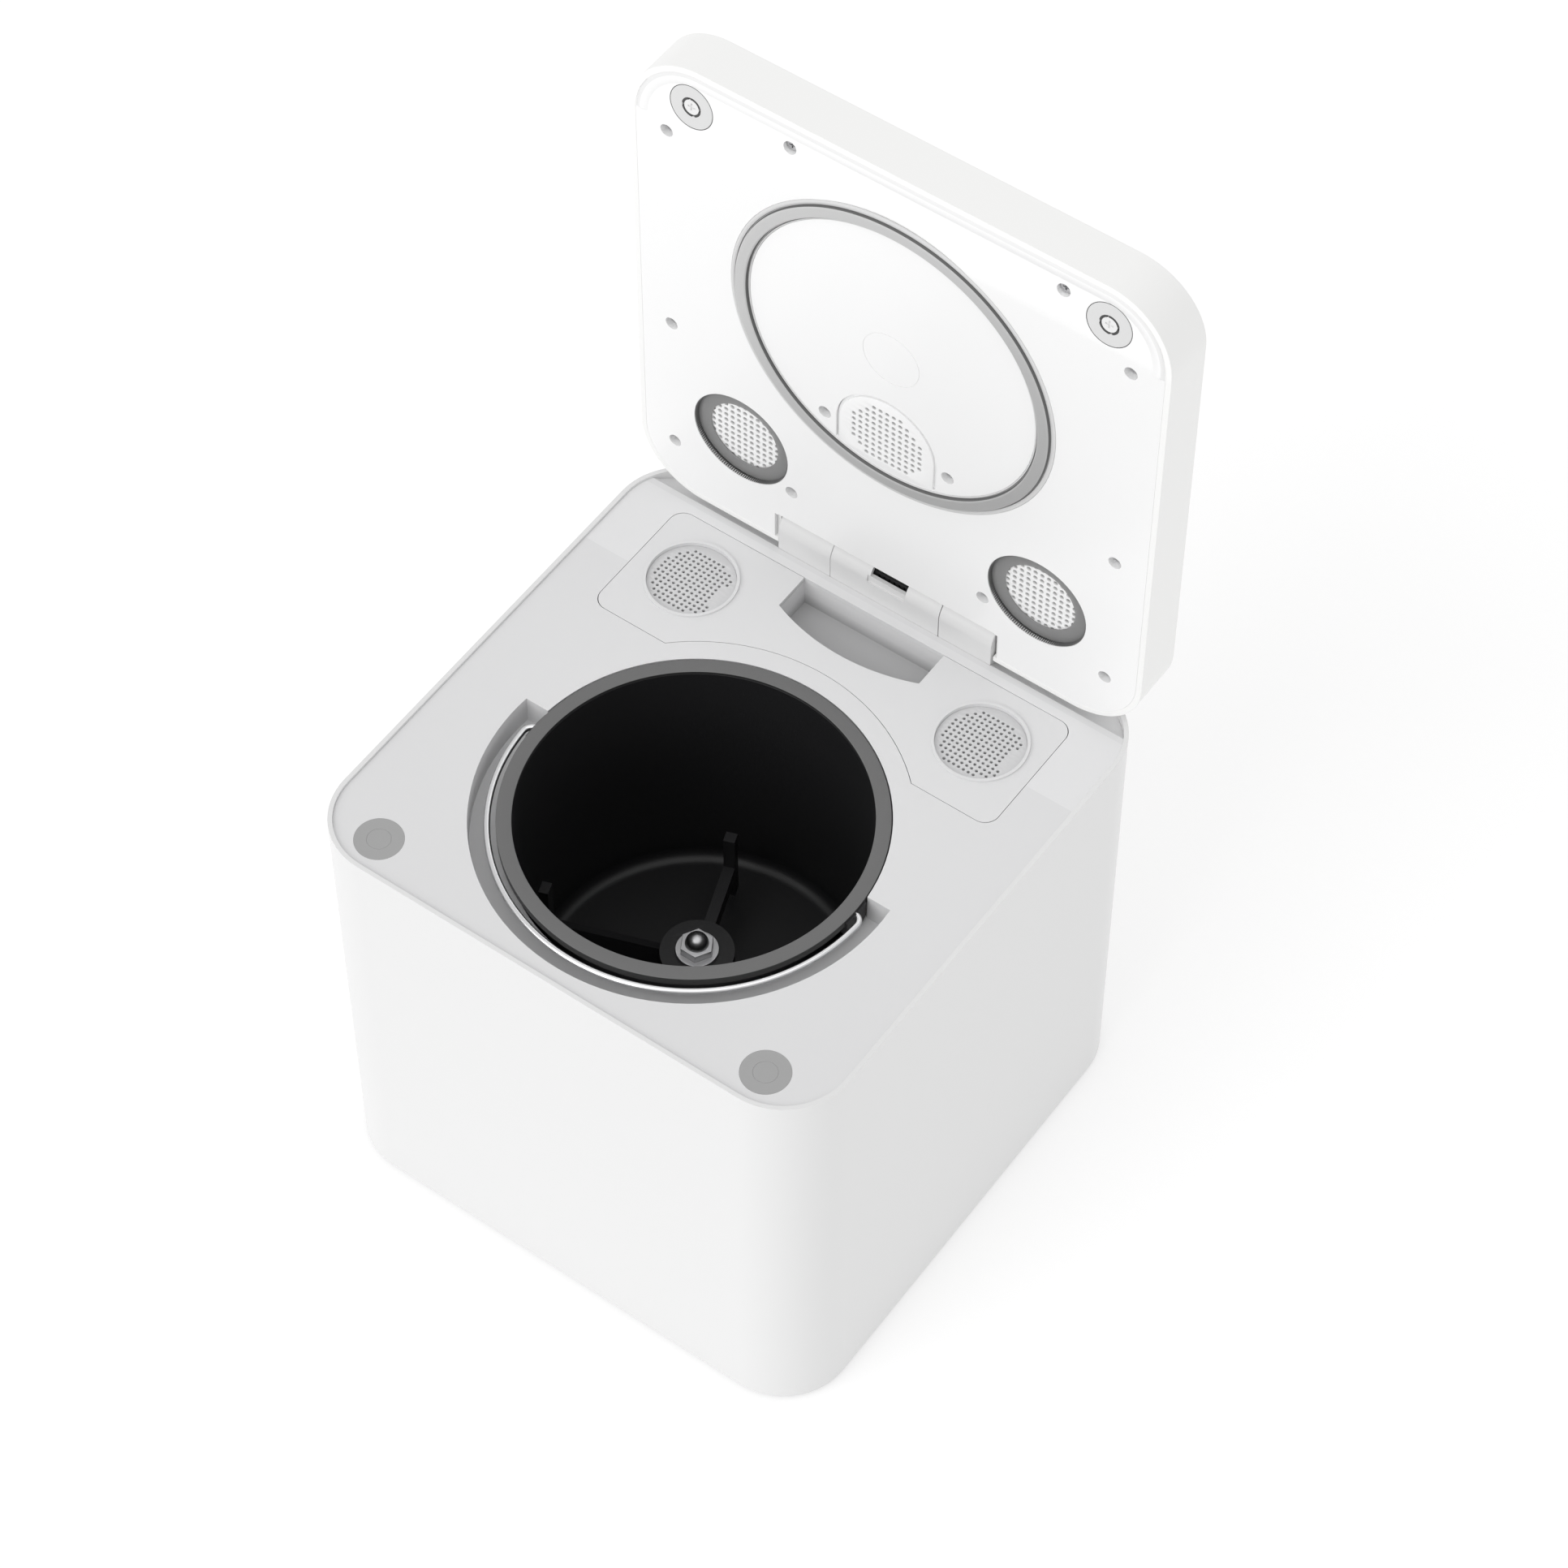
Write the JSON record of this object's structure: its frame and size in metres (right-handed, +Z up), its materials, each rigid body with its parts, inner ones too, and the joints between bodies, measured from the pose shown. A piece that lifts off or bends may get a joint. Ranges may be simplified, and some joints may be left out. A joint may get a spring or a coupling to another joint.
{
  "type": "electric food waste composter",
  "caption": "Rounded white cube composter with a hinged lid standing open, a round lift-out bucket with a wire bail, and a lift-out filter cover with round vents.",
  "frame": {"origin": "on the floor under the middle of the bounding box with the lid standing open", "axes": "+Z up, +Y towards the hinge at the back, +X to the right seen from the front; the lid stands open at rest"},
  "size_m": [0.3, 0.3094, 0.5713],
  "materials": {
    "white_shell": "satin white, very slight texture",
    "deck_plastic": "satin pale grey",
    "pad_plastic": "matte mid grey",
    "ring_finish": "matte grey coating",
    "nonstick": "dark non-stick coating",
    "black_plastic": "black moulded plastic",
    "rubber_black": "soft black rubber",
    "seal_rubber": "translucent grey silicone",
    "wire_steel": "polished wire",
    "steel": "brushed",
    "cast_alloy": "cast",
    "brass": "machined",
    "gear_plastic": "cream engineering plastic",
    "insulation": "pressed felt",
    "circuit": "circuit board",
    "filter_case": "white moulded case",
    "light_ring": "translucent ring"
  },
  "bodies": {
    "casing": {"outer_casing": "white_shell", "base_pan": "black_plastic", "rubber_feet": "rubber_black", "top_deck": "deck_plastic", "deck_strike_pads": "pad_plastic", "hinge_boss": "white_shell", "hinge_center_cover": "white_shell", "hinge_cable_socket": "black_plastic", "well_liner": "steel", "well_insulation": "insulation", "heater_plate": "cast_alloy", "temperature_sensor": "black_plastic", "gearbox_housing": "cast_alloy", "gearbox_cover": "cast_alloy", "drive_motor": "steel", "output_bush": "brass", "idler_axle": "steel", "filter_bay": "deck_plastic", "exhaust_duct": "pad_plastic", "fan_housing": "black_plastic", "rear_grille": "white_shell", "power_inlet": "black_plastic", "control_board": "circuit", "power_board": "circuit", "base_screws": "steel", "gearbox_screws": "steel"},
    "drive": {"output_gear": "gear_plastic", "output_shaft": "steel"},
    "idler": {"idler_gear": "gear_plastic"},
    "pinion": {"motor_pinion": "brass"},
    "fan": {"fan_rotor": "black_plastic"},
    "filter_unit": {"filter_cover": "deck_plastic", "vent_grille_left": "deck_plastic", "vent_grille_right": "deck_plastic"},
    "filter_left": {"carbon_filter_left": "filter_case"},
    "filter_right": {"carbon_filter_right": "filter_case"},
    "bucket": {"bucket_shell": "nonstick", "bucket_rim": "ring_finish", "bail_ears": "nonstick", "bucket_hub": "cast_alloy"},
    "agitator": {"agitator_shaft": "steel", "agitator_blades": "nonstick"},
    "bail": {"bail_handle": "wire_steel"},
    "lid": {"lid_shell": "white_shell", "lid_inner_panel": "white_shell", "lid_seal": "seal_rubber", "lid_vent_seals": "seal_rubber", "lid_vent_grilles": "white_shell", "lid_intake_grille": "white_shell", "lid_magnets": "deck_plastic", "magnet_screws": "steel", "lid_screws": "steel", "lid_hinge_pins": "steel", "lid_air_duct": "pad_plastic", "lid_control_board": "circuit", "button_light_ring": "light_ring"},
    "button": {"start_button": "white_shell"}
  },
  "joints": [
    {"name": "lid_hinge", "type": "hinge", "parent": "casing", "child": "lid", "pos_m": [0, 0.13585, 0.2816], "axis": [-1, 0, 0], "range_deg": [-90, 0]},
    {"name": "bucket_lift", "type": "slide", "parent": "casing", "child": "bucket", "axis": [0, 0, 1], "range_m": [0, 0.18]},
    {"name": "bail_pivot", "type": "hinge", "parent": "bucket", "child": "bail", "pos_m": [0, -0.03505, 0.2654], "axis": [-1, 0, 0], "range_deg": [0, 100]},
    {"name": "drive_spin", "type": "hinge", "parent": "casing", "child": "drive", "pos_m": [0, -0.03505, 0.08], "axis": [0, 0, 1], "continuous": true},
    {"name": "agitator_spin", "type": "hinge", "parent": "bucket", "child": "agitator", "pos_m": [0, -0.03505, 0.13], "axis": [0, 0, 1], "continuous": true},
    {"name": "idler_spin", "type": "hinge", "parent": "casing", "child": "idler", "pos_m": [-0.04346, -0.05087, 0.07], "axis": [0, 0, 1], "continuous": true},
    {"name": "motor_spin", "type": "hinge", "parent": "casing", "child": "pinion", "pos_m": [-0.05671, -0.08728, 0.065], "axis": [0, 0, 1], "continuous": true},
    {"name": "fan_spin", "type": "hinge", "parent": "casing", "child": "fan", "pos_m": [0, 0.12535, 0.148], "axis": [0, 1, 0], "continuous": true},
    {"name": "filter_cover_lift", "type": "slide", "parent": "casing", "child": "filter_unit", "axis": [0, 0, 1], "range_m": [0, 0.13]},
    {"name": "filter_left_twist", "type": "hinge", "parent": "filter_unit", "child": "filter_left", "pos_m": [-0.0877, 0.08235, 0.22], "axis": [0, 0, 1], "range_deg": [0, 25]},
    {"name": "filter_right_twist", "type": "hinge", "parent": "filter_unit", "child": "filter_right", "pos_m": [0.0877, 0.08235, 0.22], "axis": [0, 0, 1], "range_deg": [0, 25]},
    {"name": "start_button_press", "type": "slide", "parent": "lid", "child": "button", "axis": [0, 1, 0], "range_m": [-0.0008, 0], "stiffness_N_per_m": 400}
  ],
  "couplings": [
    {"joint": "agitator_spin", "follows": "drive_spin", "ratio": 1},
    {"joint": "idler_spin", "follows": "drive_spin", "ratio": -4.2857},
    {"joint": "motor_spin", "follows": "drive_spin", "ratio": 17.857}
  ]
}
